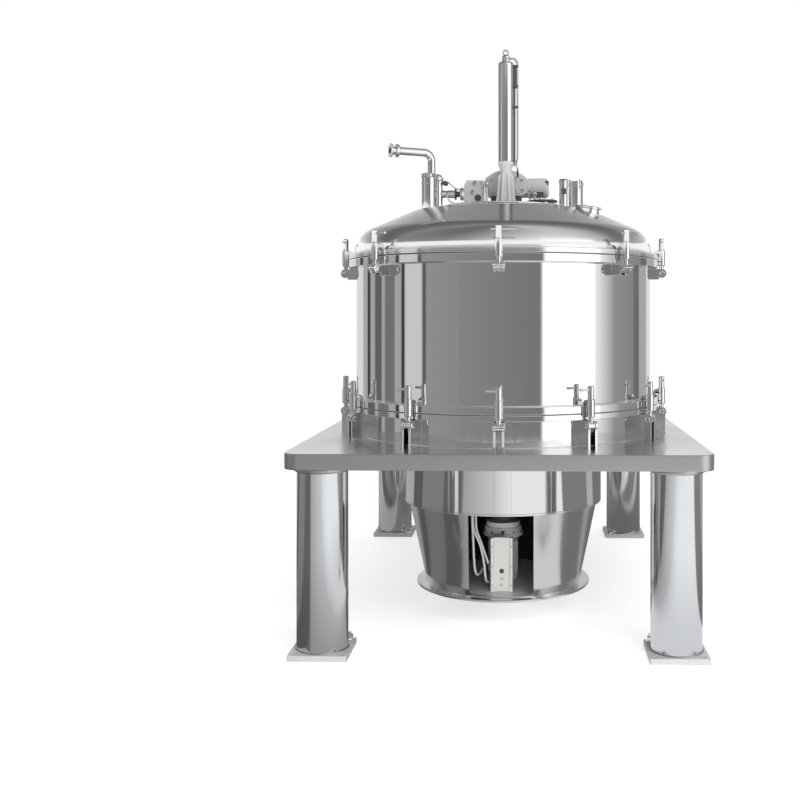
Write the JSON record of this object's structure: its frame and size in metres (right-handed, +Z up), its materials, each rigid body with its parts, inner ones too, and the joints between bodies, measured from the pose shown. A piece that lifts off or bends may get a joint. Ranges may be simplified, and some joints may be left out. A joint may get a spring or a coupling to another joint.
{
  "type": "industrial centrifuge",
  "caption": "Vertical centrifuge: round polished steel casing with a dished lid and swing clamps, on a thick platform with tubular legs and a conical drive housing below.",
  "frame": {"origin": "ground level under the middle of the platform", "axes": "+Z up, front of the machine towards -Y, +X to the right seen from the front"},
  "size_m": [1.8, 2.65, 2.7812],
  "materials": {
    "polished_steel": "mirror polished stainless steel",
    "satin_steel": "satin brushed stainless steel",
    "core_steel": "plain filled core, hidden",
    "dark_paint": "dark satin paint",
    "gasket_rubber": "matt rubber",
    "hose_plastic": "light flexible hose"
  },
  "bodies": {
    "machine": {"platform_deck": "satin_steel", "platform_edge": "satin_steel", "platform_core": "core_steel", "platform_underplate": "satin_steel", "leg_front_left": "satin_steel", "leg_front_right": "satin_steel", "leg_rear_left": "satin_steel", "leg_rear_right": "satin_steel", "foot_plates": "satin_steel", "drive_housing_drum": "polished_steel", "drive_housing_cone": "polished_steel", "drive_housing_base": "polished_steel", "spindle_tube": "dark_paint", "bearing_housing": "satin_steel", "drive_motor": "dark_paint", "channel_cover": "satin_steel", "lube_hoses": "hose_plastic", "base_ring": "polished_steel", "base_lugs": "polished_steel", "casing_shell": "polished_steel", "casing_flanges": "polished_steel", "casing_lugs": "polished_steel", "gaskets": "gasket_rubber", "lid_dome": "polished_steel", "lid_top_plate": "polished_steel", "column_stand": "polished_steel", "column_tube": "polished_steel", "column_cap": "polished_steel", "column_side_pipe": "polished_steel", "gear_housing": "satin_steel", "gear_motor": "satin_steel", "valve_block": "satin_steel", "guide_studs": "polished_steel", "blind_plate": "satin_steel", "wash_nozzle": "polished_steel", "wash_pipe": "polished_steel", "branch_valve": "polished_steel", "sight_glass": "polished_steel", "sight_lamp": "satin_steel", "hand_hole_cover": "satin_steel"},
    "lid_clamp_1": {"lid_clamp_1": "polished_steel"},
    "lid_clamp_2": {"lid_clamp_2": "polished_steel"},
    "lid_clamp_3": {"lid_clamp_3": "polished_steel"},
    "lid_clamp_4": {"lid_clamp_4": "polished_steel"},
    "lid_clamp_5": {"lid_clamp_5": "polished_steel"},
    "lid_clamp_6": {"lid_clamp_6": "polished_steel"},
    "lid_clamp_7": {"lid_clamp_7": "polished_steel"},
    "lid_clamp_8": {"lid_clamp_8": "polished_steel"},
    "base_clamp_1": {"base_clamp_1": "polished_steel"},
    "base_clamp_2": {"base_clamp_2": "polished_steel"},
    "base_clamp_3": {"base_clamp_3": "polished_steel"},
    "base_clamp_4": {"base_clamp_4": "polished_steel"},
    "base_clamp_5": {"base_clamp_5": "polished_steel"},
    "base_clamp_6": {"base_clamp_6": "polished_steel"},
    "base_clamp_7": {"base_clamp_7": "polished_steel"},
    "base_clamp_8": {"base_clamp_8": "polished_steel"},
    "base_clamp_9": {"base_clamp_9": "polished_steel"},
    "base_clamp_10": {"base_clamp_10": "polished_steel"},
    "base_clamp_11": {"base_clamp_11": "polished_steel"},
    "base_clamp_12": {"base_clamp_12": "polished_steel"}
  },
  "joints": [
    {"name": "lid_clamp_1_swing", "type": "hinge", "parent": "machine", "child": "lid_clamp_1", "pos_m": [0, -1.203, 1.653], "axis": [1, 0, 0], "range_deg": [0, 110]},
    {"name": "lid_clamp_2_swing", "type": "hinge", "parent": "machine", "child": "lid_clamp_2", "pos_m": [0.56215, -0.97015, 1.653], "axis": [0.7071, 0.7071, 0], "range_deg": [0, 110]},
    {"name": "lid_clamp_3_swing", "type": "hinge", "parent": "machine", "child": "lid_clamp_3", "pos_m": [0.795, -0.408, 1.653], "axis": [0, 1, 0], "range_deg": [0, 110]},
    {"name": "lid_clamp_4_swing", "type": "hinge", "parent": "machine", "child": "lid_clamp_4", "pos_m": [0.56215, 0.15415, 1.653], "axis": [-0.7071, 0.7071, 0], "range_deg": [0, 110]},
    {"name": "lid_clamp_5_swing", "type": "hinge", "parent": "machine", "child": "lid_clamp_5", "pos_m": [0, 0.387, 1.653], "axis": [-1, 0, 0], "range_deg": [0, 110]},
    {"name": "lid_clamp_6_swing", "type": "hinge", "parent": "machine", "child": "lid_clamp_6", "pos_m": [-0.56215, 0.15415, 1.653], "axis": [-0.7071, -0.7071, 0], "range_deg": [0, 110]},
    {"name": "lid_clamp_7_swing", "type": "hinge", "parent": "machine", "child": "lid_clamp_7", "pos_m": [-0.795, -0.408, 1.653], "axis": [0, -1, 0], "range_deg": [0, 110]},
    {"name": "lid_clamp_8_swing", "type": "hinge", "parent": "machine", "child": "lid_clamp_8", "pos_m": [-0.56215, -0.97015, 1.653], "axis": [0.7071, -0.7071, 0], "range_deg": [0, 110]},
    {"name": "base_clamp_1_swing", "type": "hinge", "parent": "machine", "child": "base_clamp_1", "pos_m": [0, -1.203, 0.963], "axis": [1, 0, 0], "range_deg": [0, 110]},
    {"name": "base_clamp_2_swing", "type": "hinge", "parent": "machine", "child": "base_clamp_2", "pos_m": [0.3975, -1.09649, 0.963], "axis": [0.866, 0.5, 0], "range_deg": [0, 110]},
    {"name": "base_clamp_3_swing", "type": "hinge", "parent": "machine", "child": "base_clamp_3", "pos_m": [0.68849, -0.8055, 0.963], "axis": [0.5, 0.866, 0], "range_deg": [0, 110]},
    {"name": "base_clamp_4_swing", "type": "hinge", "parent": "machine", "child": "base_clamp_4", "pos_m": [0.795, -0.408, 0.963], "axis": [0, 1, 0], "range_deg": [0, 110]},
    {"name": "base_clamp_5_swing", "type": "hinge", "parent": "machine", "child": "base_clamp_5", "pos_m": [0.68849, -0.0105, 0.963], "axis": [-0.5, 0.866, 0], "range_deg": [0, 110]},
    {"name": "base_clamp_6_swing", "type": "hinge", "parent": "machine", "child": "base_clamp_6", "pos_m": [0.3975, 0.28049, 0.963], "axis": [-0.866, 0.5, 0], "range_deg": [0, 110]},
    {"name": "base_clamp_7_swing", "type": "hinge", "parent": "machine", "child": "base_clamp_7", "pos_m": [0, 0.387, 0.963], "axis": [-1, 0, 0], "range_deg": [0, 110]},
    {"name": "base_clamp_8_swing", "type": "hinge", "parent": "machine", "child": "base_clamp_8", "pos_m": [-0.3975, 0.28049, 0.963], "axis": [-0.866, -0.5, 0], "range_deg": [0, 110]},
    {"name": "base_clamp_9_swing", "type": "hinge", "parent": "machine", "child": "base_clamp_9", "pos_m": [-0.68849, -0.0105, 0.963], "axis": [-0.5, -0.866, 0], "range_deg": [0, 110]},
    {"name": "base_clamp_10_swing", "type": "hinge", "parent": "machine", "child": "base_clamp_10", "pos_m": [-0.795, -0.408, 0.963], "axis": [0, -1, 0], "range_deg": [0, 110]},
    {"name": "base_clamp_11_swing", "type": "hinge", "parent": "machine", "child": "base_clamp_11", "pos_m": [-0.68849, -0.8055, 0.963], "axis": [0.5, -0.866, 0], "range_deg": [0, 110]},
    {"name": "base_clamp_12_swing", "type": "hinge", "parent": "machine", "child": "base_clamp_12", "pos_m": [-0.3975, -1.09649, 0.963], "axis": [0.866, -0.5, 0], "range_deg": [0, 110]}
  ]
}
